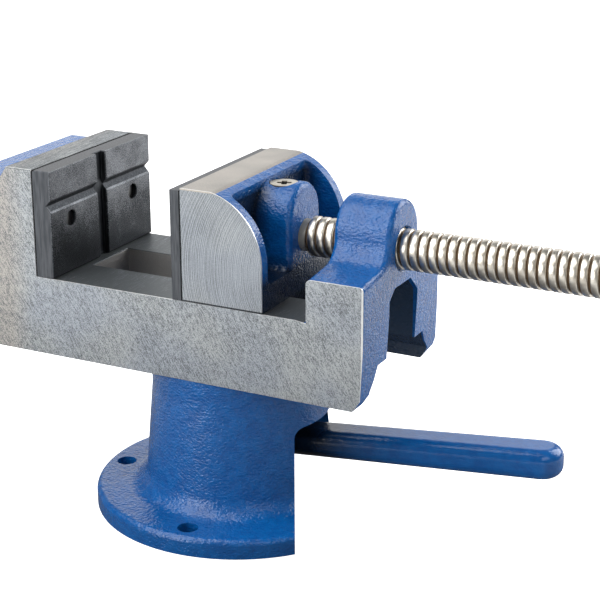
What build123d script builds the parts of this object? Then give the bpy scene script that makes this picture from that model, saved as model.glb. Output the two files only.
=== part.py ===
from build123d import *
import os
from math import atan2, cos, pi, radians, sin, sqrt

# Drill press vise on a swivel pedestal, in millimetres.
# X runs along the lead screw towards the handle, Y across the jaws, Z up.
# The origin is on the swivel axis, at the underside of the mounting flange.
# The rest position is a half open vise with the clamp lever in the middle of its swing.

# Driving dimensions of the pedestal
pedestal_height = 64.4
flange_radius = 62.0
flange_thickness = 8.0
flange_edge_round = 2.5
collar_radius = 37.0
collar_straight = 11.0
foot_radius = 41.0
foot_round = 8.5
pedestal_wall = 7.0
top_plate = 17.5
hollow_round = 6.0
mount_edge_distance = 8.5
mount_hole = 8.5
mount_hole_angle = 190.0
mount_hole_spread = 85.0

# The pedestal's mouth, with sides parallel to the lever's middle position
mouth_direction = 11.2
mouth_half_width = 21.3
mouth_height = 42.0
mouth_round = 3.6

# The flat that opens the mouth's near side and ends the flange there
flat_direction = 27.5
flat_distance = 22.6
flat_height = 17.5

# Driving dimensions of the vise body
jaw_width = 75.0
body_depth = 33.5
swivel_to_fixed_jaw = 74.9
bed_length = 149.2
fixed_jaw_height = 45.4
fixed_jaw_depth = 34.0
fixed_land = 12.4
shelf_drop = 4.4
shelf_slope = 3.0
shelf_round = 3.0
slot_width = 27.2
slot_start = 12.0
ledge_depth = 19.1
ledge_width = 8.1
cavity_half_width = 28.1
cavity_end_wall = 9.0
rail_chamfer = 7.5
pad_thickness = 8.3
spigot_radius = 20.0
spigot_length = 10.0

# Driving dimensions of the bridge
bridge_thickness = 24.3
shoulder_height = 17.0
shoulder_rise = 2.6
nut_boss_radius = 13.9
nut_boss_center = 28.0
nut_boss_flare = 9.0
bridge_edge_round = 2.2
bridge_near_round = 1.25
bridge_far_round = 3.5
nut_chamfer = 1.1
end_face_straight = 1.5
end_face_draft = 1.4
end_chamfer_height = 4.6
end_chamfer_length = 3.1
foot_strip = 4.8
foot_relief = 0.7
arch_height = 8.5
arch_far_flat = 6.5
arch_far_shoulder = 2.0
arch_near_flat = 8.5
arch_near_shoulder = 4.5
arch_near_round = 3.0

# Driving dimensions of the moving jaw
opening = 56.5
jaw_depth = 40.4
moving_jaw_height = 46.2
moving_land = 13.4
side_arc_radius = 28.0
side_wall = 5.0
back_web = 5.8
pocket_floor = 10.5
pocket_round = 3.0
screw_boss_radius = 13.3
screw_boss_center = 30.5
boss_edge_round = 2.5
tongue_start = 6.0
tongue_length = 28.0
keeper_thickness = 5.0
keeper_width = 40.0

# Jaw plates
fixed_plate_thickness = 9.1
moving_plate_thickness = 4.8
moving_plate_drop = 1.0
plate_screw_spacing = 46.8
plate_screw_height = 22.9
plate_corner_round = 1.0
vertical_groove_width = 6.8
vertical_groove_depth = 2.4
v_groove_height = 30.8
v_groove_width = 5.4
v_groove_depth = 2.4

# Lead screw and what turns with it
screw_axis_height = 22.3
thread_radius = 8.15
thread_pitch = 4.0
thread_length = 131.0
thread_end_chamfer = 1.2
neck_radius = 6.6
neck_shown = 3.0
neck_bottom_wall = 7.0
groove_radius = 5.1
groove_width = 6.0
thrust_disc_thickness = 2.0
head_radius = 11.0
head_length = 26.0
head_edge_round = 2.0
journal_radius = 6.0
journal_length = 11.0
head_pin_radius = 2.0
bar_radius = 4.75
bar_overall = 96.0
bar_from_head_end = 8.0
knob_radius = 8.0
knob_length = 12.0
knob_socket = 8.0

# Fasteners
plate_bolt_radius = 4.0
plate_bolt_tapped_hole = 6.6
plate_bolt_counterbore = 11.0
plate_bolt_head_radius = 6.5
plate_bolt_head_height = 8.0
plate_bolt_engagement = 7.0
jaw_screw_radius = 2.5
jaw_screw_head_radius = 4.9
jaw_screw_length = 16.0
keeper_screw_radius = 3.0
keeper_screw_head_radius = 6.0
keeper_screw_length = 20.0
keeper_screw_spacing = 16.0
retaining_screw_radius = 3.0
retaining_screw_head_radius = 6.2
retaining_screw_setback = 9.6
retaining_screw_sink = 1.1
retaining_screw_tip_radius = 2.3
retaining_screw_tip = 2.6
swivel_bolt_radius = 6.0
swivel_bolt_head_flats = 18.0
swivel_bolt_head_height = 7.3
swivel_bolt_tail = 5.0
stop_ring_thickness = 1.5
stop_ring_radius = 8.5
clamp_washer_radius = 13.0
clamp_washer_thickness = 2.5

# Clamp lever
lever_angle = 12.5
lever_reach = 136.8
lever_center_height = 28.5
lever_root_width = 16.4
lever_tip_width = 18.3
lever_root_thickness = 11.5
lever_tip_thickness = 13.0
lever_rise = 1.2
lever_edge_round = 4.8
lever_hub_radius = 15.0
lever_hub_below_arm = 1.8
lever_swing_back = 21.0
lever_swing_on = 18.5

# Clearances
running_fit = 0.05
flat_gap = 0.1
guide_gap = 0.1
keeper_gap = 0.2
bolt_clearance = 0.25
hole_clearance = 0.5

# Places worked out from the driving dimensions
half_width = jaw_width / 2
underside_z = pedestal_height + flat_gap
bed_z = underside_z + body_depth
fixed_x = -swivel_to_fixed_jaw
back_x = fixed_x - fixed_jaw_depth
bridge_back_x = fixed_x + bed_length
bridge_front_x = bridge_back_x - bridge_thickness
jaw_x = fixed_x + fixed_plate_thickness + opening
casting_x = jaw_x + moving_plate_thickness
jaw_back_x = jaw_x + jaw_depth
jaw_bottom_z = bed_z + flat_gap
screw_z = bed_z + screw_axis_height
slot_half = slot_width / 2
ledge_z = bed_z - ledge_depth
ledge_half = slot_half + ledge_width
pad_top_z = underside_z + pad_thickness
tongue_x = jaw_x + tongue_start
tongue_bottom_z = ledge_z - keeper_gap
keeper_bottom_z = tongue_bottom_z - keeper_thickness
thread_x = jaw_back_x + neck_shown
thread_end_x = thread_x + thread_length
head_end_x = thread_end_x + head_length
bore_end_x = casting_x + neck_bottom_wall
neck_end_x = bore_end_x + thrust_disc_thickness
retaining_x = jaw_back_x - retaining_screw_setback
retaining_top_z = bed_z + screw_boss_center + screw_boss_radius - retaining_screw_sink
bar_x = head_end_x - bar_from_head_end
bar_top_z = screw_z + head_radius + flat_gap + knob_length
bar_low_z = bar_top_z - bar_overall
plate_screw_z = bed_z + plate_screw_height
top_plate_under_z = pedestal_height - top_plate
hub_top_z = top_plate_under_z - clamp_washer_thickness - flat_gap
hub_bottom_z = lever_center_height - lever_root_thickness / 2 - lever_hub_below_arm
stop_ring_z = hub_bottom_z - hole_clearance
swivel_bolt_end_z = stop_ring_z - swivel_bolt_tail
bolt_seat_z = pad_top_z - swivel_bolt_head_height - keeper_gap

# How far the moving pieces travel from rest
travel_closing = opening - flat_gap
travel_opening = bridge_front_x - jaw_back_x - hole_clearance
bar_travel = bar_overall - 2 * knob_length - 2 * head_radius - 2 * flat_gap


# A closed face on a plane. Each corner is (u, v) or (u, v, rounding radius).
def outline(plane, corners):
    face = make_face(Polyline(*[corner[:2] for corner in corners], close=True))
    for corner in corners:
        if len(corner) == 3:
            vertex = face.vertices().sort_by_distance(Vector(corner[0], corner[1]))[0]
            face = fillet(vertex, corner[2])
    return plane * face


# A cylinder from a start point along a unit direction
def rod(start, direction, radius, length):
    plane = Plane(origin=start, z_dir=direction)
    return extrude(plane * Circle(radius), amount=length)


# A cone frustum from a start point along a unit direction
def cone(start, direction, start_radius, end_radius, length):
    plane = Plane(origin=start, z_dir=direction)
    return plane * Cone(start_radius, end_radius, length, align=(Align.CENTER, Align.CENTER, Align.MIN))


# A box from its low corner to its high corner
def block(low, high):
    size = [b - a for a, b in zip(low, high)]
    return Pos(*low) * Box(*size, align=(Align.MIN, Align.MIN, Align.MIN))


# A countersunk screw whose flat head starts at a point and whose shank runs along a direction
def countersunk_screw(top, direction, shank_radius, head_radius, length):
    head_height = head_radius - shank_radius
    head = cone(top, direction, head_radius, shank_radius, head_height)
    return head + rod(top, direction, shank_radius, length)


# The hole for such a screw, a little wider all round, with its mouth open past the surface
def countersunk_hole(top, direction, shank_radius, head_radius, length, clearance):
    rim = head_radius + clearance
    above = tuple(t - d for t, d in zip(top, direction))
    mouth = rod(above, direction, rim, 1.0)
    seat = cone(top, direction, rim, shank_radius + clearance, head_radius - shank_radius)
    return mouth + seat + rod(top, direction, shank_radius + clearance, length)


# Points of the two screws that hold each jaw plate
def plate_screw_points(x):
    return [(x, side * plate_screw_spacing / 2, plate_screw_z) for side in (-1, 1)]


# The keeper's screws stand in a row along the tongue
def keeper_screw_points():
    middle = tongue_x + tongue_length / 2
    return [(middle + side * keeper_screw_spacing / 2, 0, keeper_bottom_z) for side in (-1, 1)]


# What is taken away for the lever: a mouth with two upright sides, the wall in front of the flat
# up to the mouth's far side, and all of the flange and the wall's foot in front of the flat
def mouth_cutter():
    reach = 4 * flange_radius
    low = -flange_thickness
    across = Plane(origin=(0, 0, 0), x_dir=(0, 1, 0), z_dir=(1, 0, 0))
    turn_mouth = Rot(0, 0, mouth_direction)
    mouth = turn_mouth * extrude(outline(across, [
        (-mouth_half_width, low), (mouth_half_width, low), (mouth_half_width, mouth_height, mouth_round),
        (-mouth_half_width, mouth_height, mouth_round)]), amount=reach)
    far_side = turn_mouth * extrude(outline(across, [
        (-reach, low), (mouth_half_width, low), (mouth_half_width, mouth_height, mouth_round),
        (-reach, mouth_height)]), amount=reach)
    turn_flat = Rot(0, 0, flat_direction)
    opened = turn_flat * extrude(outline(Plane.XZ, [
        (flat_distance, low), (reach, low), (reach, mouth_height),
        (flat_distance, mouth_height, mouth_round)]), amount=reach, both=True)
    flat = turn_flat * block((flat_distance, -reach, low), (reach, reach, flat_height))
    return mouth + (opened & far_side) + flat


# Round flange, tapered hollow wall and a thick top plate that the vise body turns on
def pedestal():
    straight_z = pedestal_height - collar_straight
    outer = revolve(outline(Plane.XZ, [
        (0, 0), (flange_radius, 0), (flange_radius, flange_thickness, flange_edge_round),
        (foot_radius, flange_thickness, foot_round), (collar_radius, straight_z, 2 * collar_straight),
        (collar_radius, pedestal_height), (0, pedestal_height)]), axis=Axis.Z)
    inner = revolve(outline(Plane.XZ, [
        (0, -1), (foot_radius - pedestal_wall, -1),
        (collar_radius - pedestal_wall, top_plate_under_z, hollow_round), (0, top_plate_under_z)]),
        axis=Axis.Z)
    socket = rod((0, 0, pedestal_height - spigot_length - hole_clearance), (0, 0, 1),
                 spigot_radius + running_fit, top_plate)
    bolt_hole = rod((0, 0, 0), (0, 0, 1), swivel_bolt_radius + hole_clearance, pedestal_height)
    casting = outer - inner - socket - bolt_hole - mouth_cutter()
    mount_radius = flange_radius - mount_edge_distance
    for side in (-1, 0, 1):
        angle = radians(mount_hole_angle + side * mount_hole_spread)
        point = (mount_radius * cos(angle), mount_radius * sin(angle), -1)
        casting -= rod(point, (0, 0, 1), mount_hole / 2, flange_thickness + foot_round + 1)
    return casting


# Section across the bridge: shoulders that flare up into the round nut boss
def bridge_section():
    center_z = bed_z + nut_boss_center
    shoulder_z = bed_z + shoulder_height
    neck_z = shoulder_z + shoulder_rise
    low_z = bed_z - end_face_straight
    wings = outline(Plane.YZ, [
        (-half_width, low_z), (half_width, low_z), (half_width, shoulder_z),
        (nut_boss_radius, neck_z, nut_boss_flare), (nut_boss_radius, center_z),
        (-nut_boss_radius, center_z), (-nut_boss_radius, neck_z, nut_boss_flare),
        (-half_width, shoulder_z)])
    return wings + Plane.YZ * Pos(0, center_z) * Circle(nut_boss_radius)


# The bridge with its long top edges rounded on both faces
def bridge():
    front = Plane(origin=(bridge_front_x, 0, 0)).location
    solid = front * extrude(bridge_section(), amount=bridge_thickness)
    top_edges = solid.edges().filter_by(
        lambda e: abs(e.bounding_box().size.X) < 0.01 and e.center().Z > bed_z + arch_height)
    top_edges = top_edges.filter_by(lambda e: abs(e.center().Y) < half_width - 0.01)
    return fillet(top_edges, bridge_edge_round)


# Prism that cuts one upright corner of the bed's handle end down to a round
def end_round_cutter(side, radius):
    low = underside_z - 1
    inner_y = side * (half_width - radius)
    low_y, high_y = sorted((inner_y, side * (half_width + 1)))
    corner = block((bridge_back_x - radius, low_y, low),
                   (bridge_back_x + 1, high_y, bed_z + nut_boss_center))
    post = rod((bridge_back_x - radius, inner_y, low), (0, 0, 1), radius, 3 * body_depth)
    return corner - post


# Side outline of the bed and the fixed jaw, up to the foot of the bridge
def bed_outline():
    top_z = bed_z + fixed_jaw_height
    shelf_z = top_z - shelf_drop
    foot_x = bridge_front_x - foot_strip
    return outline(Plane.XZ, [
        (back_x, underside_z, shelf_round), (back_x, shelf_z, shelf_round),
        (fixed_x - fixed_land - shelf_slope, shelf_z, 1.0), (fixed_x - fixed_land, top_z),
        (fixed_x, top_z), (fixed_x, bed_z), (foot_x, bed_z),
        (bridge_front_x, bed_z - foot_relief), (bridge_front_x, bed_z),
        (bridge_back_x, bed_z), (bridge_back_x, bed_z - end_face_straight),
        (bridge_back_x - end_face_draft, underside_z + end_chamfer_height),
        (bridge_back_x - end_face_draft - end_chamfer_length, underside_z)])


# What is taken out between the ways: the slot in the bed, the arch under the bridge
# and the wide cavity under the two ledges that the keeper runs on
def channel_cutters():
    slot_x = fixed_x + slot_start
    past_x = bridge_back_x + 1
    slot = block((slot_x, -slot_half, ledge_z - 1), (bridge_front_x, slot_half, bed_z + 1))
    arch = outline(Plane(origin=(bridge_front_x - 1, 0, 0), x_dir=(0, 1, 0), z_dir=(1, 0, 0)), [
        (-slot_half, ledge_z - 1), (slot_half, ledge_z - 1), (slot_half, bed_z + arch_far_shoulder, 1.5),
        (arch_far_flat, bed_z + arch_height, 1.5),
        (-arch_near_flat, bed_z + arch_height, arch_near_round),
        (-slot_half, bed_z + arch_near_shoulder, arch_near_round)])
    cavity_x = back_x + cavity_end_wall
    knee = (ledge_half + (cavity_half_width - ledge_half) * 0.45, ledge_z - 5.1)
    hip = (cavity_half_width, ledge_z - 9.0)
    cavity = outline(Plane(origin=(cavity_x, 0, 0), x_dir=(0, 1, 0), z_dir=(1, 0, 0)), [
        (-cavity_half_width, underside_z - 1), (cavity_half_width, underside_z - 1), hip, knee,
        (ledge_half, ledge_z), (-ledge_half, ledge_z), (-knee[0], knee[1]), (-hip[0], hip[1])])
    return [slot, extrude(arch, amount=bridge_thickness + 2), extrude(cavity, amount=past_x - cavity_x)]


# Prism that cuts the corner off the far rail's lower edge, along its whole length
def rail_edge_cutter():
    plane = Plane(origin=(back_x - 1, 0, 0), x_dir=(0, 1, 0), z_dir=(1, 0, 0))
    triangle = outline(plane, [
        (half_width - rail_chamfer, underside_z), (half_width, underside_z + rail_chamfer),
        (half_width + 1, underside_z + rail_chamfer), (half_width + 1, underside_z - 1),
        (half_width - rail_chamfer, underside_z - 1)])
    return extrude(triangle, amount=bridge_back_x - back_x + 2)


# Fixed jaw, two ways, bridge and swivel pad in one casting
def vise_body():
    casting = extrude(bed_outline(), amount=half_width, both=True)
    casting -= rail_edge_cutter()
    casting += bridge()
    casting -= end_round_cutter(-1, bridge_near_round)
    casting -= end_round_cutter(1, bridge_far_round)
    for cutter in channel_cutters():
        casting -= cutter
    casting += rod((0, 0, underside_z), (0, 0, 1), collar_radius, pad_thickness)
    casting += rod((0, 0, underside_z - spigot_length), (0, 0, 1), spigot_radius, spigot_length)
    flats = swivel_bolt_head_flats / 2 + bolt_clearance
    pocket = Pos(0, 0, bolt_seat_z) * extrude(
        RegularPolygon(flats, 6, major_radius=False), amount=2 * swivel_bolt_head_height)
    casting -= pocket
    casting -= rod((0, 0, 0), (0, 0, 1), swivel_bolt_radius + bolt_clearance, pad_top_z)
    casting -= rod((bridge_front_x - 1, 0, screw_z), (1, 0, 0), thread_radius + running_fit,
                   bridge_thickness + 2)
    casting -= cone((bridge_back_x, 0, screw_z), (-1, 0, 0), thread_radius + nut_chamfer, thread_radius,
                    nut_chamfer)
    for point in plate_screw_points(back_x - 1):
        casting -= rod(point, (1, 0, 0), plate_bolt_radius + bolt_clearance, fixed_jaw_depth + 2)
        casting -= rod(point, (1, 0, 0), plate_bolt_head_radius + bolt_clearance,
                       plate_bolt_counterbore + 1)
    return casting


# Thick plate with a vertical groove for upright rods and a V groove for rods that lie across
def fixed_jaw_plate():
    face_x = fixed_x + fixed_plate_thickness
    top_z = bed_z + fixed_jaw_height
    plate = extrude(outline(Plane.XZ, [
        (fixed_x, bed_z + flat_gap), (face_x, bed_z + flat_gap, plate_corner_round),
        (face_x, top_z), (fixed_x, top_z)]), amount=half_width, both=True)
    half_v = v_groove_width / 2
    v_z = bed_z + v_groove_height
    plate -= extrude(outline(Plane.XZ, [
        (face_x + 1, v_z - half_v - 1), (face_x + 1, v_z + half_v + 1), (face_x, v_z + half_v),
        (face_x - v_groove_depth, v_z), (face_x, v_z - half_v)]), amount=jaw_width, both=True)
    plate -= block((face_x - vertical_groove_depth, -vertical_groove_width / 2, bed_z - 1),
                   (face_x + 1, vertical_groove_width / 2, top_z + 1))
    for point in plate_screw_points(fixed_x - 1):
        plate -= rod(point, (1, 0, 0), plate_bolt_tapped_hole / 2, fixed_plate_thickness + 2)
        plate -= rod(point, (1, 0, 0), plate_bolt_radius + running_fit,
                     plate_bolt_engagement + 1 + running_fit)
    return plate


# Two cap screws through the fixed jaw, from behind, into the plate
def fixed_jaw_plate_screws():
    seat_x = back_x + plate_bolt_counterbore
    screws = []
    for point in plate_screw_points(seat_x):
        start = (point[0] - plate_bolt_head_height, point[1], point[2])
        head = rod(start, (1, 0, 0), plate_bolt_head_radius, plate_bolt_head_height)
        head -= Plane(origin=start, z_dir=(1, 0, 0)) * extrude(
            RegularPolygon(plate_bolt_radius * 0.75, 6, major_radius=False), amount=plate_bolt_radius)
        shank = rod(point, (1, 0, 0), plate_bolt_radius, fixed_x - seat_x + plate_bolt_engagement)
        screws.append(head + shank)
    return Compound(screws)


# Side outline of the moving jaw: flat land, then a quarter round down to the upright back
def jaw_side_outline(low_z):
    top_z = bed_z + moving_jaw_height
    land_x = casting_x + moving_land
    center_x = jaw_back_x - side_arc_radius
    center_z = top_z - sqrt(side_arc_radius ** 2 - (land_x - center_x) ** 2)
    lean = atan2(top_z - center_z, land_x - center_x)
    middle = (center_x + side_arc_radius * cos(lean / 2), center_z + side_arc_radius * sin(lean / 2))
    straight = Polyline((jaw_back_x, center_z), (jaw_back_x, low_z), (casting_x, low_z),
                        (casting_x, top_z), (land_x, top_z))
    arc = ThreePointArc((land_x, top_z), middle, (jaw_back_x, center_z))
    return Plane.XZ * make_face(Curve() + [straight, arc])


# Round topped boss that the neck of the lead screw turns in
def screw_boss(start_x, edge_round):
    center_z = bed_z + screw_boss_center
    floor_z = bed_z + pocket_floor
    section = Plane.YZ * Pos(0, center_z) * Circle(screw_boss_radius)
    section += outline(Plane.YZ, [
        (-screw_boss_radius, floor_z - 1), (screw_boss_radius, floor_z - 1),
        (screw_boss_radius, center_z), (-screw_boss_radius, center_z)])
    solid = Pos(start_x, 0, 0) * extrude(section, amount=jaw_back_x - start_x)
    rim = solid.edges().filter_by(
        lambda e: abs(e.center().X - jaw_back_x) < 0.01 and e.center().Z > floor_z)
    return fillet(rim, edge_round)


# Casting with a hollow back on each side of the boss, a solid base and a tongue in the slot
def moving_jaw():
    whole = extrude(jaw_side_outline(jaw_bottom_z), amount=half_width, both=True)
    web_x = casting_x + moving_land + back_web
    floor_z = bed_z + pocket_floor
    inner_half = half_width - side_wall
    pocket = block((web_x, -inner_half, floor_z),
                   (jaw_back_x + pocket_round * 2, inner_half, bed_z + 2 * moving_jaw_height))
    inside_edges = pocket.edges().filter_by(lambda e: e.center().X < jaw_back_x - 1 or (
        e.center().Z < floor_z + 0.01 and abs(e.center().Y) > 1))
    inside_edges = inside_edges.filter_by(lambda e: e.center().Z < bed_z + 2 * moving_jaw_height - 0.01)
    pocket = fillet(inside_edges, pocket_round)
    casting = whole - pocket
    casting += screw_boss(web_x - 1, boss_edge_round)
    slot_clear = slot_half - guide_gap
    casting += block((tongue_x, -slot_clear, tongue_bottom_z),
                     (tongue_x + tongue_length, slot_clear, jaw_bottom_z + 1))
    bore = rod((bore_end_x, 0, screw_z), (1, 0, 0), neck_radius + running_fit, jaw_depth)
    casting -= bore
    top = (retaining_x, 0, retaining_top_z)
    depth = retaining_top_z - screw_z
    casting -= countersunk_hole(top, (0, 0, -1), retaining_screw_radius, retaining_screw_head_radius,
                                depth, running_fit)
    casting -= rod(top, (0, 0, 1), retaining_screw_head_radius + running_fit, 2 * retaining_screw_sink)
    for point in plate_screw_points(casting_x - 1):
        casting -= rod(point, (1, 0, 0), jaw_screw_radius + running_fit,
                       jaw_screw_length - moving_plate_thickness + 2)
    for x, y, z in keeper_screw_points():
        casting -= rod((x, y, tongue_bottom_z - 1), (0, 0, 1), keeper_screw_radius + running_fit,
                       keeper_screw_length - keeper_thickness + 2)
    return casting


# Thin smooth plate, a little lower than the casting's land
def moving_jaw_plate():
    top_z = bed_z + moving_jaw_height - moving_plate_drop
    plate = block((jaw_x, -half_width, jaw_bottom_z), (casting_x, half_width, top_z))
    for point in plate_screw_points(jaw_x + flat_gap):
        plate -= countersunk_hole(point, (1, 0, 0), jaw_screw_radius, jaw_screw_head_radius,
                                  jaw_screw_length, running_fit)
    return plate


def moving_jaw_plate_screws():
    return Compound([
        countersunk_screw(point, (1, 0, 0), jaw_screw_radius, jaw_screw_head_radius, jaw_screw_length)
        for point in plate_screw_points(jaw_x + flat_gap)])


# Flat plate under the ledges, screwed to the underside of the tongue
def keeper_plate():
    plate = block((tongue_x, -keeper_width / 2, keeper_bottom_z),
                  (tongue_x + tongue_length, keeper_width / 2, tongue_bottom_z))
    plate = fillet(plate.edges().filter_by(Axis.Z), pocket_round)
    for x, y, z in keeper_screw_points():
        plate -= countersunk_hole((x, y, z + flat_gap), (0, 0, 1), keeper_screw_radius,
                                  keeper_screw_head_radius, keeper_screw_length, running_fit)
    return plate


def keeper_screws():
    return Compound([
        countersunk_screw((x, y, z + flat_gap), (0, 0, 1), keeper_screw_radius,
                          keeper_screw_head_radius, keeper_screw_length)
        for x, y, z in keeper_screw_points()])


# Screw with a grooved neck in the jaw's boss and a journal in the head. The thread is left plain.
def lead_screw():
    groove_half = groove_width / 2
    chamfered = thread_radius - thread_end_chamfer
    profile = Polyline(
        (neck_end_x, 0), (neck_end_x, neck_radius - 1), (neck_end_x + 1, neck_radius),
        (retaining_x - groove_half, neck_radius), (retaining_x - groove_half, groove_radius),
        (retaining_x + groove_half, groove_radius), (retaining_x + groove_half, neck_radius),
        (thread_x, neck_radius), (thread_x, chamfered), (thread_x + thread_end_chamfer, thread_radius),
        (thread_end_x - thread_end_chamfer, thread_radius), (thread_end_x, chamfered),
        (thread_end_x, journal_radius), (thread_end_x + journal_length, journal_radius),
        (thread_end_x + journal_length, 0), close=True)
    solid = Pos(0, 0, screw_z) * revolve(Plane.XZ * make_face(profile), axis=Axis.X)
    pin_x = thread_end_x + journal_length / 2
    return solid - rod((pin_x, -head_radius, screw_z), (0, 1, 0), head_pin_radius + running_fit,
                       2 * head_radius)


# Hard disc at the bottom of the boss bore, for the neck to push on
def thrust_disc():
    return rod((bore_end_x, 0, screw_z), (1, 0, 0), neck_radius - hole_clearance, thrust_disc_thickness)


# Cross recess screw whose plain tip sits in the groove of the neck
def spindle_retaining_screw():
    top = (retaining_x, 0, retaining_top_z)
    tip_z = screw_z + groove_radius + flat_gap
    length = retaining_top_z - tip_z - retaining_screw_tip
    screw = countersunk_screw(top, (0, 0, -1), retaining_screw_radius, retaining_screw_head_radius, length)
    return screw + rod((retaining_x, 0, tip_z), (0, 0, 1), retaining_screw_tip_radius,
                       retaining_screw_tip + 1)


# Round head with a blind bore for the journal and a cross hole for the bar
def spindle_head():
    blank = rod((thread_end_x, 0, screw_z), (1, 0, 0), head_radius, head_length)
    head = fillet(blank.edges(), head_edge_round)
    head -= rod((thread_end_x - 1, 0, screw_z), (1, 0, 0), journal_radius + running_fit,
                journal_length + 1 + running_fit)
    pin_x = thread_end_x + journal_length / 2
    head -= rod((pin_x, -head_radius - 1, screw_z), (0, 1, 0), head_pin_radius + running_fit,
                2 * head_radius + 2)
    return head - rod((bar_x, 0, screw_z - head_radius - 1), (0, 0, 1), bar_radius + running_fit,
                      2 * head_radius + 2)


def spindle_head_pin():
    pin_x = thread_end_x + journal_length / 2
    length = 2 * sqrt(head_radius ** 2 - head_pin_radius ** 2) - flat_gap
    return rod((pin_x, -length / 2, screw_z), (0, 1, 0), head_pin_radius, length)


# The bar hangs in the head with its upper knob on the head's round side.
def tommy_bar():
    end = knob_length - knob_socket
    return rod((bar_x, 0, bar_low_z + end), (0, 0, 1), bar_radius, bar_overall - 2 * end)


# Turned knob with a blind socket for the bar's end, revolved about the bar
def bar_knob(inner_z, up):
    outer_z = inner_z + up * knob_length
    waist = bar_radius + 1.5
    face = make_face(Polyline(
        (0, inner_z), (waist, inner_z), (knob_radius, inner_z + up * knob_length * 0.4),
        (knob_radius, outer_z), (0, outer_z), close=True))
    for u, v, radius in ((knob_radius, inner_z + up * knob_length * 0.4, 3.0), (knob_radius, outer_z, 3.5)):
        face = fillet(face.vertices().sort_by_distance(Vector(u, v))[0], radius)
    knob = Pos(bar_x, 0, 0) * revolve(Plane.XZ * face, axis=Axis.Z)
    socket_start = (bar_x, 0, inner_z - up)
    return knob - rod(socket_start, (0, 0, up), bar_radius + running_fit, knob_socket + 1)


# Bolt whose hexagon head is held in the body's pocket
def swivel_bolt():
    head = Pos(0, 0, bolt_seat_z) * extrude(
        RegularPolygon(swivel_bolt_head_flats / 2, 6, major_radius=False), amount=swivel_bolt_head_height)
    shank = rod((0, 0, swivel_bolt_end_z), (0, 0, 1), swivel_bolt_radius, bolt_seat_z - swivel_bolt_end_z)
    tail_edge = shank.edges().sort_by(Axis.Z)[0]
    shank = chamfer(tail_edge, 1.0)
    ring_groove = rod((0, 0, stop_ring_z - stop_ring_thickness), (0, 0, 1), 2 * swivel_bolt_radius,
                      stop_ring_thickness)
    ring_groove -= rod((0, 0, stop_ring_z - stop_ring_thickness), (0, 0, 1), swivel_bolt_radius - 1,
                       stop_ring_thickness)
    return head + shank - ring_groove


def stop_ring():
    start = (0, 0, stop_ring_z - stop_ring_thickness)
    ring = rod(start, (0, 0, 1), stop_ring_radius, stop_ring_thickness)
    ring -= rod(start, (0, 0, 1), swivel_bolt_radius - 1, stop_ring_thickness)
    gap = swivel_bolt_radius * 0.8
    return ring - block((0, -gap / 2, start[2] - 1), (2 * stop_ring_radius, gap / 2, stop_ring_z + 1))


def clamp_washer():
    start = (0, 0, top_plate_under_z - clamp_washer_thickness)
    washer = rod(start, (0, 0, 1), clamp_washer_radius, clamp_washer_thickness)
    return washer - rod(start, (0, 0, 1), swivel_bolt_radius + hole_clearance, clamp_washer_thickness)


# Tapered arm with a round end, rounded edges, and a hub that is threaded on the swivel bolt
def clamp_lever():
    end_radius = lever_tip_width / 2
    end_x = lever_reach - end_radius
    root_half = lever_root_width / 2
    plan = make_face(Curve() + [
        Polyline((end_x, -end_radius), (0, -root_half), (0, root_half), (end_x, end_radius)),
        ThreePointArc((end_x, end_radius), (lever_reach, 0), (end_x, -end_radius))])
    low = lever_center_height - lever_tip_thickness
    arm = extrude(Pos(0, 0, low) * plan, amount=2 * lever_tip_thickness)
    root_z = lever_root_thickness / 2
    tip_z = lever_tip_thickness / 2
    tip_center_z = lever_center_height + lever_rise
    side = outline(Plane.XZ, [
        (0, lever_center_height - root_z), (lever_reach + 1, tip_center_z - tip_z),
        (lever_reach + 1, tip_center_z + tip_z), (0, lever_center_height + root_z)])
    arm &= extrude(side, amount=lever_tip_width, both=True)
    long_edges = arm.edges().filter_by(
        lambda e: abs(e.tangent_at(0.5).Z) < 0.2 and e.center().X > 1)
    arm = fillet(long_edges, lever_edge_round)
    hub = rod((0, 0, hub_bottom_z), (0, 0, 1), lever_hub_radius, hub_top_z - hub_bottom_z)
    lever = arm + hub
    lever -= rod((0, 0, 0), (0, 0, 1), swivel_bolt_radius + running_fit, pedestal_height)
    return Rot(0, 0, lever_angle) * lever


def write_parts():
    os.makedirs("parts", exist_ok=True)
    upper_knob_z = bar_top_z - knob_length
    lower_knob_z = bar_low_z + knob_length
    nodes = {
        "pedestal": pedestal(),
        "vise_body": vise_body(),
        "fixed_jaw_plate": fixed_jaw_plate(),
        "fixed_jaw_plate_screws": fixed_jaw_plate_screws(),
        "moving_jaw": moving_jaw(),
        "moving_jaw_plate": moving_jaw_plate(),
        "moving_jaw_plate_screws": moving_jaw_plate_screws(),
        "keeper_plate": keeper_plate(),
        "keeper_screws": keeper_screws(),
        "lead_screw": lead_screw(),
        "thrust_disc": thrust_disc(),
        "spindle_retaining_screw": spindle_retaining_screw(),
        "spindle_head": spindle_head(),
        "spindle_head_pin": spindle_head_pin(),
        "tommy_bar": tommy_bar(),
        "bar_knob_upper": bar_knob(upper_knob_z, 1),
        "bar_knob_lower": bar_knob(lower_knob_z, -1),
        "swivel_bolt": swivel_bolt(),
        "stop_ring": stop_ring(),
        "clamp_washer": clamp_washer(),
        "clamp_lever": clamp_lever(),
    }
    for name, shape in nodes.items():
        export_step(shape, f"parts/{name}.step")
    print("screw turns per metre of jaw travel, in radians", round(2 * pi / thread_pitch * 1000, 3))
    print("jaw travel", round(-travel_closing, 3), round(travel_opening, 3))
    print("bar travel", round(bar_travel, 3))
    print("clamp lever swing, in degrees", -lever_swing_back, lever_swing_on)


write_parts()
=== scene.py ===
import math

import bpy
from mathutils import Euler, Matrix, Vector


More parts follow.
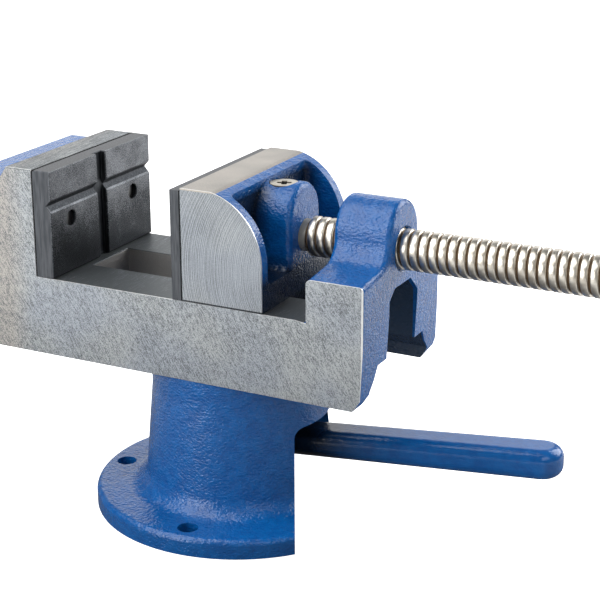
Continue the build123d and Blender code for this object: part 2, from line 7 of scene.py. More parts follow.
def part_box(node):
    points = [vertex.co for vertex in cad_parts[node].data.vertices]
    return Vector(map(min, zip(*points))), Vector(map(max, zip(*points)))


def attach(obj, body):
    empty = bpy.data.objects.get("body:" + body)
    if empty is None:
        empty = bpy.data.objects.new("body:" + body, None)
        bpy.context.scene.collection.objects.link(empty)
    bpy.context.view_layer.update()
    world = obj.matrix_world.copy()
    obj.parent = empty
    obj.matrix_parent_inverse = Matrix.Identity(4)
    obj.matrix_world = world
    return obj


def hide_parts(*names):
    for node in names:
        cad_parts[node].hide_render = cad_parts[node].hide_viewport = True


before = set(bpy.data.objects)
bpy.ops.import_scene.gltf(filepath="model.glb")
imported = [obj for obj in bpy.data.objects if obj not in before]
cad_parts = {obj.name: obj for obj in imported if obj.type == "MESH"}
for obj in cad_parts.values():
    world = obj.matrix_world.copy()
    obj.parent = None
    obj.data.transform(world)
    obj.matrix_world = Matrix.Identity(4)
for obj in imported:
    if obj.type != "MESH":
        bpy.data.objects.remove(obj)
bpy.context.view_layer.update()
bpy.ops.object.select_all(action="DESELECT")
print("frame loaded")

# Places on the vise, in metres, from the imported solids
jawLow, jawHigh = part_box("moving_jaw")
bodyLow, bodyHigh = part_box("vise_body")
screwLow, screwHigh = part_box("lead_screw")
capLow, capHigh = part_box("spindle_retaining_screw")
plateLow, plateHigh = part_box("fixed_jaw_plate")
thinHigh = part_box("moving_jaw_plate")[1]
vise = {
    "halfWidth": bodyHigh.y,
    "bedTop": plateLow.z - 0.0001,
    "screwAxis": (screwLow.z + screwHigh.z) / 2,
    "fixedLand": plateHigh.z,
    "jawLand": jawHigh.z,
    "jawBack": jawHigh.x,
    "slotHalf": 0.0136,
    "ledge": plateLow.z - 0.0192,
    "bridgeFront": bodyHigh.x - 0.0243,
    "channelHalf": 0.0219,
    "cavityHalf": 0.0284,
    "archTop": plateLow.z + 0.0115,
    "webBack": jawLow.x + 0.0192,
    "pocketFloor": plateLow.z + 0.0104,
    "pocketHalf": bodyHigh.y - 0.005,
}


# Puts a piece in edit mode, alone, with all of it selected
def startEdit(piece):
    bpy.ops.object.select_all(action="DESELECT")
    bpy.context.view_layer.objects.active = piece
    piece.select_set(True)
    bpy.ops.object.mode_set(mode="EDIT")
    bpy.ops.mesh.select_all(action="SELECT")


def endEdit(piece):
    bpy.ops.object.mode_set(mode="OBJECT")
    piece.select_set(False)


# In edit mode, leaves only the vertices or polygons selected that pass a test
def selectOnly(piece, kind, test):
    bpy.ops.mesh.select_all(action="DESELECT")
    bpy.ops.object.mode_set(mode="OBJECT")
    for element in getattr(piece.data, kind):
        element.select = test(element)
    bpy.ops.object.mode_set(mode="EDIT")


def applyModifier(piece, kind, **settings):
    bpy.context.view_layer.objects.active = piece
    modifier = piece.modifiers.new(kind.lower(), kind)
    for name, value in settings.items():
        setattr(modifier, name, value)
    bpy.ops.object.modifier_apply(modifier=modifier.name)


# Joins others into a piece, which stays selected
def joinInto(piece, others):
    bpy.ops.object.select_all(action="DESELECT")
    for part in [*others, piece]:
        part.select_set(True)
    bpy.context.view_layer.objects.active = piece
    bpy.ops.object.join()


# Smooth shading wherever faces meet at less than an angle
def smoothBelow(piece, degrees):
    bpy.ops.object.select_all(action="DESELECT")
    bpy.context.view_layer.objects.active = piece
    piece.select_set(True)
    bpy.ops.object.shade_smooth_by_angle(angle=math.radians(degrees))
    piece.select_set(False)


# The moving jaw's boss meets the pocket's floor in a fillet: a bar with a round groove along it
bossFillet = {"half": 0.0133, "radius": 0.004, "short": 0.0012, "sunk": 0.0003, "sides": 64}


def makeBossFillet(side):
    radius, sunk = bossFillet["radius"], bossFillet["sunk"]
    start, end = vise["webBack"], vise["jawBack"] - bossFillet["short"]
    middle, thickness = (start + end) / 2, radius + sunk
    y, z = side * bossFillet["half"], vise["pocketFloor"]
    bpy.ops.mesh.primitive_cube_add(size=1, location=(middle, y + side * (radius - sunk) / 2,
                                                      z + (radius - sunk) / 2))
    bar = bpy.context.object
    bar.scale = (end - start, thickness, thickness)
    bpy.ops.object.transform_apply(location=True, rotation=False, scale=True)
    bpy.ops.mesh.primitive_cylinder_add(vertices=bossFillet["sides"], radius=radius,
                                        depth=2 * (end - start), rotation=(0, math.radians(90), 0),
                                        location=(middle, y + side * radius, z + radius))
    groove = bpy.context.object
    applyModifier(bar, "BOOLEAN", operation="DIFFERENCE", object=groove)
    bpy.data.objects.remove(groove)
    return bar


# Castings and plates get their own mesh with narrow bevels along the sharp edges, as a file leaves them
edgeBreaks = {
    "vise_body": {"piece": "viseCasting", "body": "vise", "slot": "enamel_and_ground_iron", "width": 0.0005},
    "moving_jaw": {"piece": "jawCasting", "body": "jaw", "slot": "enamel_and_ground_iron", "width": 0.0005},
    "pedestal": {"piece": "pedestalCasting", "body": "base", "slot": "blue_enamel_casting", "width": 0.0007},
    "fixed_jaw_plate": {"piece": "thickJawPlate", "body": "vise", "slot": "dark_jaw_steel", "width": 0.0003},
    "moving_jaw_plate": {"piece": "thinJawPlate", "body": "jaw", "slot": "dark_jaw_steel", "width": 0.0003},
}
edgeMesh = {"weld": 0.000005, "flatBelow": 0.5, "sharpAbove": 35, "smoothBelow": 50, "segments": 2}


def brokenEdgeCopy(node, settings):
    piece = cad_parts[node].copy()
    piece.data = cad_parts[node].data.copy()
    for key in list(piece.keys()):
        del piece[key]
    piece.name = piece.data.name = settings["piece"]
    piece.parent = None
    bpy.context.scene.collection.objects.link(piece)
    startEdit(piece)
    bpy.ops.mesh.customdata_custom_splitnormals_clear()
    bpy.ops.mesh.remove_doubles(threshold=edgeMesh["weld"])
    bpy.ops.mesh.dissolve_limited(angle_limit=math.radians(edgeMesh["flatBelow"]))
    endEdit(piece)
    applyModifier(piece, "BEVEL", width=settings["width"], segments=edgeMesh["segments"],
                  limit_method="ANGLE", angle_limit=math.radians(edgeMesh["sharpAbove"]),
                  use_clamp_overlap=True)
    if node == "moving_jaw":
        joinInto(piece, [makeBossFillet(side) for side in (-1, 1)])
    smoothBelow(piece, edgeMesh["smoothBelow"])
    applyModifier(piece, "WEIGHTED_NORMAL", keep_sharp=True)
    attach(piece, settings["body"])
    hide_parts(node)
    return piece


shown = {node: brokenEdgeCopy(node, settings) for node, settings in edgeBreaks.items()}
print("edges broken on the castings and plates")


# An open line drawn by extruding one vertex through (x, height above the screw's axis) points
def drawProfile(name, points):
    bpy.ops.mesh.primitive_plane_add(size=0.001, location=(0, 0, 0))
    piece = bpy.context.object
    piece.name = piece.data.name = name
    bpy.ops.object.mode_set(mode="EDIT")
    bpy.ops.mesh.select_all(action="SELECT")
    bpy.ops.mesh.merge(type="CENTER")
    bpy.ops.transform.translate(value=(points[0][0], 0, points[0][1]))
    for (x0, z0), (x1, z1) in zip(points, points[1:]):
        bpy.ops.mesh.extrude_region_move(TRANSFORM_OT_translate={"value": (x1 - x0, 0, z1 - z0)})
    bpy.ops.object.mode_set(mode="OBJECT")
    return piece


lathe = {"steps": 64, "weld": 0.000005}


# A closed solid turned about the X axis from an open line that starts and ends on it
def makeLathed(name, points):
    piece = drawProfile(name, points)
    startEdit(piece)
    bpy.ops.mesh.spin(steps=lathe["steps"], angle=math.tau, center=(0, 0, 0), axis=(1, 0, 0))
    bpy.ops.mesh.select_all(action="SELECT")
    bpy.ops.mesh.remove_doubles(threshold=lathe["weld"])
    bpy.ops.mesh.normals_make_consistent(inside=False)
    endEdit(piece)
    return piece


thread = {
    "pitch": 0.004, "major": 0.00814, "root": 0.0069, "crest": 0.0026, "rootFlat": 0.0006, "round": 0.00022,
    "start": 0.0341, "end": 0.1651, "chamfer": 0.0012, "steps": 64, "weld": 0.00001, "smoothBelow": 40,
    "trimPast": 0.001, "trimOver": 0.0001, "neckStart": screwLow.x + 0.00005, "neckRadius": 0.0066,
    "neckChamfer": 0.001, "grooveAt": 0.0215, "grooveHalf": 0.003, "grooveRadius": 0.0051,
    "journalStart": 0.0349, "journalRadius": 0.006,
}


# Rolled trapezoidal thread: one pitch's outline swept along a helix, cut square and chamfered
def makeLeadScrew():
    pitch, major, root = thread["pitch"], thread["major"], thread["root"]
    start, end, chamfer = thread["start"], thread["end"], thread["chamfer"]
    flank = (pitch - thread["crest"] - thread["rootFlat"]) / 2
    half = thread["rootFlat"] / 2
    first, last = start - 2 * pitch, start - pitch
    piece = drawProfile("leadScrewThread", [
        (first, root), (first + half, root), (first + half + flank, major),
        (last - half - flank, major), (last - half, root), (last, root)])
    startEdit(piece)
    selectOnly(piece, "vertices", lambda vertex: first + half / 2 < vertex.co.x < last - half / 2)
    bpy.ops.mesh.bevel(offset=thread["round"], segments=2, affect="VERTICES")
    endEdit(piece)
    turns = math.ceil((end - start) / pitch) + 3
    applyModifier(piece, "SCREW", axis="X", screw_offset=pitch, iterations=turns, steps=thread["steps"],
                  render_steps=thread["steps"], use_merge_vertices=False)
    startEdit(piece)
    bpy.ops.mesh.remove_doubles(threshold=thread["weld"])
    for place, keepInner in ((start, False), (end, True)):
        bpy.ops.mesh.select_all(action="SELECT")
        bpy.ops.mesh.bisect(plane_co=(place, 0, 0), plane_no=(1, 0, 0), use_fill=True,
                            clear_inner=not keepInner, clear_outer=keepInner)
    bpy.ops.mesh.select_all(action="SELECT")
    bpy.ops.mesh.normals_make_consistent(inside=False)
    endEdit(piece)
    past, over = thread["trimPast"], thread["trimOver"]
    low = major - chamfer - past
    trim = makeLathed("threadTrim", [
        (start - past, 0), (start - past, low), (start + chamfer, major + over),
        (end - chamfer, major + over), (end + past, low), (end + past, 0)])
    applyModifier(piece, "BOOLEAN", operation="INTERSECT", object=trim, solver="EXACT")
    bpy.data.objects.remove(trim)
    neck, neckRadius, neckChamfer = thread["neckStart"], thread["neckRadius"], thread["neckChamfer"]
    grooveStart, grooveEnd = (thread["grooveAt"] + side * thread["grooveHalf"] for side in (-1, 1))
    core = makeLathed("neckAndJournal", [
        (neck, 0), (neck, neckRadius - neckChamfer), (neck + neckChamfer, neckRadius),
        (grooveStart, neckRadius), (grooveStart, thread["grooveRadius"]),
        (grooveEnd, thread["grooveRadius"]), (grooveEnd, neckRadius),
        (thread["journalStart"], neckRadius), (thread["journalStart"], thread["journalRadius"]),
        (screwHigh.x, thread["journalRadius"]), (screwHigh.x, 0)])
    joinInto(piece, [core])
    bpy.ops.transform.translate(value=(0, 0, vise["screwAxis"]))
    bpy.ops.object.transform_apply(location=True, rotation=False, scale=False)
    smoothBelow(piece, thread["smoothBelow"])
    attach(piece, "spindle")
    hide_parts("lead_screw")
    return piece


shown["lead_screw"] = makeLeadScrew()
print("lead screw threaded")

crossScrew = {"at": ((capLow.x + capHigh.x) / 2, 0, capHigh.z), "radius": 0.0062, "thickness": 0.0008,
              "coneDepth": 0.0032, "coneScale": 0.45, "shankDepth": 0.0035, "rim": 0.0003, "sides": 72,
              "recessLength": 0.0088, "recessWidth": 0.0028, "recessDepth": 0.0034,
              "recessTaper": (0.35, 0.6, 1), "turned": 24.0, "sharpAbove": 50, "smoothBelow": 40}


# True for the polygons of a flat underside
def facesDown(polygon):
    return polygon.normal.z < -0.9


# Cross recess screw: a flat head with a soft rim, a cone under it, and a tapered cross cut into it
def makeCrossScrew():
    center = crossScrew["at"]
    x, y, z = center
    bpy.ops.mesh.primitive_cylinder_add(vertices=crossScrew["sides"], radius=crossScrew["radius"],
                                        depth=crossScrew["thickness"],
                                        location=(x, y, z - crossScrew["thickness"] / 2))
    piece = bpy.context.object
    piece.name = piece.data.name = "bossCrossScrew"
    bpy.ops.object.transform_apply(location=True, rotation=False, scale=False)
    startEdit(piece)
    selectOnly(piece, "polygons", facesDown)
    for drop, scale in ((crossScrew["coneDepth"], crossScrew["coneScale"]),
                        (crossScrew["shankDepth"], 1.0)):
        bpy.ops.mesh.extrude_region_move(TRANSFORM_OT_translate={"value": (0, 0, -drop)})
        bpy.ops.transform.resize(value=(scale, scale, 1), center_override=center)
    endEdit(piece)
    applyModifier(piece, "BEVEL", width=crossScrew["rim"], segments=3, limit_method="ANGLE",
                  angle_limit=math.radians(crossScrew["sharpAbove"]))
    recess = (crossScrew["recessLength"], crossScrew["recessWidth"], 2 * crossScrew["recessDepth"])
    for turn in (0, 90):
        bpy.ops.mesh.primitive_cube_add(size=1, location=center)
        cutter = bpy.context.object
        startEdit(cutter)
        bpy.ops.transform.resize(value=recess, center_override=center)
        selectOnly(cutter, "polygons", facesDown)
        bpy.ops.transform.resize(value=crossScrew["recessTaper"], center_override=center)
        endEdit(cutter)
        cutter.rotation_euler.z = math.radians(crossScrew["turned"] + turn)
        applyModifier(piece, "BOOLEAN", operation="DIFFERENCE", object=cutter, solver="EXACT")
        bpy.data.objects.remove(cutter)
    smoothBelow(piece, crossScrew["smoothBelow"])
    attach(piece, "jaw")
    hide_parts("spindle_retaining_screw")
    return piece


shown["spindle_retaining_screw"] = makeCrossScrew()
print("cross screw cut")


# sRGB hex to the linear colour that shaders take
def toLinear(hexColour):
    channels = [int(hexColour[i:i + 2], 16) / 255 for i in (1, 3, 5)]
    linear = [c / 12.92 if c <= 0.04045 else ((c + 0.055) / 1.055) ** 2.4 for c in channels]
    return [*linear, 1.0]


# Texture scale that gives features of a real size
def scaleFor(millimetres):
    return 1000 / millimetres


# Adds one shader node. Inputs are constants or other nodes' outputs, other names are its settings.
def addNode(tree, kind, inputs=None, **settings):
    node = tree.nodes.new("ShaderNode" + kind)
    for name, value in settings.items():
        setattr(node, name, value)
    for key, value in (inputs or {}).items():
        if isinstance(value, bpy.types.NodeSocket):
            tree.links.new(value, node.inputs[key])
        else:
            node.inputs[key].default_value = value
    return node


# A new material with its shader, its Object coordinates and those coordinates split
def newMaterial(name, **shaderValues):
    material = bpy.data.materials.new(name)
    material.use_nodes = True
    tree = material.node_tree
    shader = tree.nodes["Principled BSDF"]
    for key, value in shaderValues.items():
        shader.inputs[key.replace("_", " ")].default_value = value
    place = addNode(tree, "TexCoord").outputs["Object"]
    split = addNode(tree, "SeparateXYZ", {0: place}).outputs
    return material, tree, shader, place, split


# Links outputs to the shader's inputs
def wire(tree, shader, **outputs):
    for key, output in outputs.items():
        tree.links.new(output, shader.inputs[key.replace("_", " ")])


# Places a material on nodes, or on the pieces that stand for them
def giveMaterial(material, *nodeNames):
    for name in nodeNames:
        mesh = shown.get(name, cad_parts[name]).data
        mesh.materials.clear()
        mesh.materials.append(material)


# Multiplies, adds or compares values, constants or outputs
def calculate(tree, operation, *values):
    return addNode(tree, "Math", dict(enumerate(values)), operation=operation).outputs[0]


# Blend of two colours or two values by a factor
def blend(tree, factor, first, second, kind="RGBA"):
    low, out = (6, 2) if kind == "RGBA" else (2, 0)
    return addNode(tree, "Mix", {0: factor, low: first, low + 1: second}, data_type=kind).outputs[out]


# Noise with features of a size in millimetres, longer along an axis where it is stretched
def grain(tree, place, size, detail=2.0, stretch=(1, 1, 1), turn=(0, 0, 0)):
    if stretch != (1, 1, 1) or turn != (0, 0, 0):
        place = addNode(tree, "Mapping", {"Vector": place, "Rotation": turn, "Scale": stretch},
                        vector_type="TEXTURE").outputs[0]
    return addNode(tree, "TexNoise", {"Vector": place, "Scale": scaleFor(size), "Detail": detail}).outputs[0]


# Spreads a value's range from low to high over 0 to 1, or over another range, and stops at its ends
def contrast(tree, value, low, high, outLow=0.0, outHigh=1.0):
    return addNode(tree, "MapRange", {0: value, 1: low, 2: high, 3: outLow, 4: outHigh}).outputs[0]


def bumpFrom(tree, height, distance):
    return addNode(tree, "Bump", {"Height": height, "Distance": distance, "Strength": 1.0}).outputs[0]


# Distance from a point, along the axes that are kept
def distanceFrom(tree, place, center, keep):
    flat = addNode(tree, "VectorMath", {0: place, 1: keep}, operation="MULTIPLY").outputs[0]
    return addNode(tree, "VectorMath", {0: flat, 1: center}, operation="DISTANCE").outputs["Value"]


# 1 where a value lies within a reach of a target
def near(tree, value, target, reach=0.00055):
    return calculate(tree, "COMPARE", value, target, reach)


def below(tree, value, limit):
    return calculate(tree, "LESS_THAN", value, limit)


def above(tree, value, limit):
    return calculate(tree, "GREATER_THAN", value, limit)


def sideOf(tree, split):
    return calculate(tree, "ABSOLUTE", split["Y"])


def anyOf(tree, *masks):
    result = masks[0]
    for mask in masks[1:]:
        result = calculate(tree, "MAXIMUM", result, mask)
    return result


def allOf(tree, *masks):
    result = masks[0]
    for mask in masks[1:]:
        result = calculate(tree, "MULTIPLY", result, mask)
    return result


enamel = {
    "colour": "#0a599e",
    "shade": "#094f92",
    # Painted shade under the bridge and between the rails
    "arch": "#2c3e54",
    # Painted shade deep in the moving jaw's pocket
    "pocket": "#0c1828",
    # Painted shade on the lever's root, inside the pedestal's mouth
    "rootShade": "#0a1420",
    "rootShadeReach": (0.080, 0.034),
    "peelSize": 0.9,
    "peelStretch": (1.5, 1.5, 1),
    "peelRange": (0.3, 0.7),
    "lumpSize": 4.0,
    "lumpRange": (0.35, 0.65),
    "lumpWeight": 0.8,
    "roughRange": (0.11, 0.27),
    "bump": 0.00042,
    "smoothBump": 0.000105,
    "specular": 0.5,
}


# Gloss enamel over rough cast iron: blue, with an orange peel. Returns colour, roughness and height.
def enamelNodes(tree, place):
    lumps = grain(tree, place, enamel["lumpSize"])
    peel = grain(tree, place, enamel["peelSize"], stretch=enamel["peelStretch"])
    colour = blend(tree, contrast(tree, lumps, *enamel["lumpRange"]), toLinear(enamel["shade"]),
                   toLinear(enamel["colour"]))
    rough = contrast(tree, peel, *enamel["peelRange"], *enamel["roughRange"])
    height = calculate(tree, "MULTIPLY_ADD", lumps, enamel["lumpWeight"], peel)
    return colour, rough, height


# Plain enamel. Where a reach is given, it is painted darker towards the swivel's axis, as the shade where
# the lever enters the pedestal.
def blueEnamel(name, bumpDepth, rootShadeReach=None):
    material, tree, shader, place, split = newMaterial(name, Specular_IOR_Level=enamel["specular"])
    colour, rough, height = enamelNodes(tree, place)
    if rootShadeReach:
        radius = distanceFrom(tree, place, (0, 0, 0), (1, 1, 0))
        # Painted shade: darker towards the swivel's axis
        colour = blend(tree, contrast(tree, radius, *rootShadeReach), colour, toLinear(enamel["rootShade"]))
    wire(tree, shader, Base_Color=colour, Roughness=rough, Normal=bumpFrom(tree, height, bumpDepth))
    return material


iron = {
    "light": "#b4b8ba",
    "dark": "#666b6e",
    "warm": "#b8b0a6",
    "cool": "#abb1b9",
    "slot": "#a8a5a2",
    # Painted shadow in the gap along the moving jaw's lower edge
    "seam": "#15171a",
    # Painted highlight along the ground edges
    "edge": "#f2f3f1",
    "speckSize": 0.34,
    "speckRange": (0.42, 0.58),
    "cloudSize": 24.0,
    "cloudRange": (0.3, 0.7),
    "cloudWeight": 0.25,
    "tintSize": 33.6,
    "tintRange": (0.4, 0.6),
    "toneRange": (0.28, 1.06),
    "warmFrom": plateLow.x - 0.004,
    "warmTo": plateLow.x - 0.014,
    "warmWeight": 0.7,
    "edgeIn": 0.0003,
    "edgeHalf": 0.00024,
    "roughRange": (0.5, 0.34),
    "metallic": 0.8,
    "stainAndShadeWeight": 0.85,
    "bump": 0.00003,
}


# Ground grey iron: speckled, clouded, with the marks of the wheel or cutter, and a painted highlight along
# its edges.
# It is a warmer grey at the fixed jaw and on the moving jaw's land.
def ironNodes(tree, place, split, marks, speckWeight):
    cloud = contrast(tree, grain(tree, place, iron["cloudSize"], detail=3.0), *iron["cloudRange"])
    speck = contrast(tree, grain(tree, place, iron["speckSize"]), *iron["speckRange"])
    streaks = calculate(tree, "MULTIPLY_ADD", speck, speckWeight, marks)
    clouded = calculate(tree, "MULTIPLY_ADD", cloud, iron["cloudWeight"], streaks)
    tone = contrast(tree, clouded, *iron["toneRange"])
    warmth = anyOf(tree, near(tree, split["Z"], vise["jawLand"]),
                   contrast(tree, split["X"], iron["warmTo"], iron["warmFrom"], iron["warmWeight"], 0.0))
    tint = contrast(tree, grain(tree, place, iron["tintSize"], detail=1.0), *iron["tintRange"])
    light = blend(tree, tint, toLinear(iron["light"]), toLinear(iron["cool"]))
    light = blend(tree, warmth, light, toLinear(iron["warm"]))
    colour = blend(tree, tone, toLinear(iron["dark"]), light)
    # Painted highlight: a bright line just inside the sides' edges
    edge = near(tree, sideOf(tree, split), vise["halfWidth"] - iron["edgeIn"], iron["edgeHalf"])
    colour = blend(tree, edge, colour, toLinear(iron["edge"]))
    rough = contrast(tree, tone, 0, 1, *iron["roughRange"])
    return colour, rough, tone


# One shader that is enamel where the mask is 0 and ground iron where it is 1
def paintedCasting(name, maskMaker, marksMaker, stainAndShadeColour, paintedShadeColour, speckWeight):
    material, tree, shader, place, split = newMaterial(name, Specular_IOR_Level=enamel["specular"])
    mask, stainAndShade, dark = maskMaker(tree, split)
    enamelColour, enamelRough, enamelHeight = enamelNodes(tree, place)
    # The third mask paints shade into the enamel
    enamelColour = blend(tree, dark, enamelColour, toLinear(paintedShadeColour))
    marks = marksMaker(tree, place, split)
    ironColour, ironRough, ironHeight = ironNodes(tree, place, split, marks, speckWeight)
    # The second mask: a real stain in the body's slot, a painted shadow along the moving jaw's lower edge
    ironColour = blend(tree, calculate(tree, "MULTIPLY", stainAndShade, iron["stainAndShadeWeight"]), ironColour,
                       toLinear(stainAndShadeColour))
    height = blend(tree, mask, enamelHeight, ironHeight, "FLOAT")
    depth = contrast(tree, mask, 0, 1, enamel["bump"], iron["bump"])
    wire(tree, shader, Base_Color=blend(tree, mask, enamelColour, ironColour),
         Roughness=blend(tree, mask, enamelRough, ironRough, "FLOAT"),
         Metallic=calculate(tree, "MULTIPLY", mask, iron["metallic"]), Normal=bumpFrom(tree, height, depth))
    return material


# How far the masks on the body reach past or stay back from its surfaces. The round pad under the body
# comes within half a millimetre of its sides, and the end face leans back by its draft.
bodyReach = {"side": 0.00048, "slotWall": 0.0002, "slotEdge": 0.0003, "backFace": 0.0012, "endFace": 0.0018,
             "bridge": 0.0006, "arch": 0.003, "ledge": 0.0001}


# Ground on the body: both sides, the bed, the fixed jaw's land and the walls of the slot. The slot is
# stained, and the enamel is painted dark under the bridge and between the rails, as shade.
def bodyMask(tree, split):
    side = sideOf(tree, split)
    inFront = above(tree, split["X"], bodyLow.x + bodyReach["backFace"])
    inSlot = allOf(tree, below(tree, side, vise["slotHalf"] + bodyReach["slotWall"]),
                   below(tree, split["Z"], vise["bedTop"] - bodyReach["slotEdge"]),
                   above(tree, split["Z"], vise["ledge"] + bodyReach["slotEdge"]),
                   below(tree, split["X"], vise["bridgeFront"]), inFront)
    level = anyOf(tree, near(tree, split["Z"], vise["bedTop"]), near(tree, split["Z"], vise["fixedLand"]))
    level = allOf(tree, level, below(tree, split["X"], vise["bridgeFront"] - bodyReach["bridge"]), inFront)
    ground = anyOf(tree, near(tree, side, vise["halfWidth"], bodyReach["side"]), level, inSlot)
    # Painted shade: the enamel under the bridge and between the rails
    arch = allOf(tree, above(tree, split["X"], vise["bridgeFront"] + bodyReach["arch"]),
                 below(tree, split["Z"], vise["archTop"]), below(tree, side, vise["channelHalf"]))
    under = allOf(tree, below(tree, split["Z"], vise["ledge"] + bodyReach["ledge"]),
                  below(tree, side, vise["cavityHalf"]))
    behind = below(tree, split["X"], bodyHigh.x - bodyReach["endFace"])
    return ground, inSlot, allOf(tree, anyOf(tree, arch, under), behind, inFront)


pocketShade = {"fromWeb": 0.008, "atWeb": 0.0005, "fromLand": 0.0015, "atLand": 0.006, "fromFloor": 0.007,
              "edge": 0.0002, "weight": 0.95, "seamHalf": 0.0008}


# Ground on the moving jaw: both sides and the land. Its lower edge is painted black, as the shadow in the
# gap above the bed, and the enamel deep in the pocket is painted dark, as shade.
def jawMask(tree, split):
    side = sideOf(tree, split)
    ground = anyOf(tree, near(tree, side, vise["halfWidth"]), near(tree, split["Z"], vise["jawLand"]))
    web, low, land = vise["webBack"], vise["pocketFloor"], vise["jawLand"]
    wall = allOf(tree, contrast(tree, split["X"], web + pocketShade["fromWeb"], web + pocketShade["atWeb"]),
                 below(tree, side, vise["pocketHalf"] + pocketShade["edge"]),
                 contrast(tree, split["Z"], land - pocketShade["fromLand"], land - pocketShade["atLand"]))
    # Painted shade deep in the pocket
    deep = anyOf(tree, wall, contrast(tree, split["Z"], low + pocketShade["fromFloor"], low))
    deep = allOf(tree, deep, above(tree, split["X"], web - pocketShade["edge"]))
    # Painted shadow along the gap above the bed
    seam = near(tree, split["Z"], vise["bedTop"], pocketShade["seamHalf"])
    return ground, seam, calculate(tree, "MULTIPLY", deep, pocketShade["weight"])


beltMarks = {
    "runs": [{"size": 0.34, "stretch": (1, 20, 6), "turn": -32, "weight": 0.55},
             {"size": 0.34, "stretch": (1, 20, 2), "turn": 45, "weight": 0.25}],
    "range": (0.35, 0.65),
    "speckWeight": 0.5,
    "bedDarker": -0.75,
    "landDarker": -0.3,
    "bedEdge": 0.0006,
}


# Fine marks of a belt, slanting across the body's sides. The bed is darker, and the fixed jaw's land a
# little darker.
def diagonalMarks(tree, place, split):
    bed = allOf(tree, near(tree, split["Z"], vise["bedTop"]),
                below(tree, sideOf(tree, split), vise["halfWidth"] - beltMarks["bedEdge"]))
    land = near(tree, split["Z"], vise["fixedLand"])
    # The bed and the fixed jaw's land are painted darker
    total = calculate(tree, "MULTIPLY_ADD", bed, beltMarks["bedDarker"],
                      calculate(tree, "MULTIPLY", land, beltMarks["landDarker"]))
    for run in beltMarks["runs"]:
        turn = (0, math.radians(run["turn"]), 0)
        marks = contrast(tree, grain(tree, place, run["size"], stretch=run["stretch"], turn=turn),
                         *beltMarks["range"])
        total = calculate(tree, "MULTIPLY_ADD", marks, run["weight"], total)
    return total


cutterMarks = {
    "runs": [{"ahead": 0.021, "weight": 0.7}, {"ahead": -0.085, "weight": 0.3}],
    "aboveBed": 0.015,
    "ringSize": 0.3,
    "range": (0.36, 0.64),
    "speckWeight": 0.2,
    "land": 0.6,
}


# Arcs that a fly cutter leaves on the moving jaw's sides, crossed by its fainter back cut, on a bright land
def arcMarks(tree, place, split):
    side = near(tree, sideOf(tree, split), vise["halfWidth"])
    total = calculate(tree, "MULTIPLY", near(tree, split["Z"], vise["jawLand"]), cutterMarks["land"])
    for run in cutterMarks["runs"]:
        center = (vise["jawBack"] + run["ahead"], 0, vise["bedTop"] + cutterMarks["aboveBed"])
        distance = distanceFrom(tree, place, center, (1, 0, 1))
        turns = calculate(tree, "MULTIPLY", distance, scaleFor(cutterMarks["ringSize"]))
        rings = addNode(tree, "TexNoise", {"W": turns, "Scale": 1.0, "Detail": 2.0}, noise_dimensions="1D")
        streak = contrast(tree, rings.outputs[0], *cutterMarks["range"])
        streak = calculate(tree, "MULTIPLY", streak, run["weight"])
        total = calculate(tree, "MULTIPLY_ADD", streak, side, total)
    return total


giveMaterial(paintedCasting("enamelOnCastIronBody", bodyMask, diagonalMarks, iron["slot"], enamel["arch"],
                            beltMarks["speckWeight"]), "vise_body")
giveMaterial(paintedCasting("enamelOnCastIronJaw", jawMask, arcMarks, iron["seam"], enamel["pocket"],
                            cutterMarks["speckWeight"]), "moving_jaw")
giveMaterial(blueEnamel("blueEnamel", enamel["bump"]), "pedestal")
giveMaterial(blueEnamel("smoothBlueEnamel", enamel["smoothBump"], enamel["rootShadeReach"]), "clamp_lever")
print("castings finished")

jawSteel = {
    "light": "#7f8287",
    "dark": "#2e3135",
    "seam": "#0c0d0e",
    "speckSize": 0.45,
    "speckRange": (0.46, 0.62),
    "speckWeight": 0.5,
    "cloudSize": 9.0,
    "cloudRange": (0.35, 0.65),
    "cloudWeight": 0.35,
    "streakSize": 0.7,
    "streakStretch": (1, 1, 12),
    "streakWeight": 0.2,
    "bottomShadeHeight": 0.03,
    "bottomShadeRange": (-0.8, 0.2),
    "brushedTone": 0.2,
    "faceDarker": -0.25,
    "frontHalf": 0.0006,
    "topHalf": 0.0004,
    "seamWidth": 0.0007,
    "topSeamWidth": 0.00154,
    "roughRange": (0.48, 0.28),
    "metallic": 0.9,
    "bump": 0.00009,
}


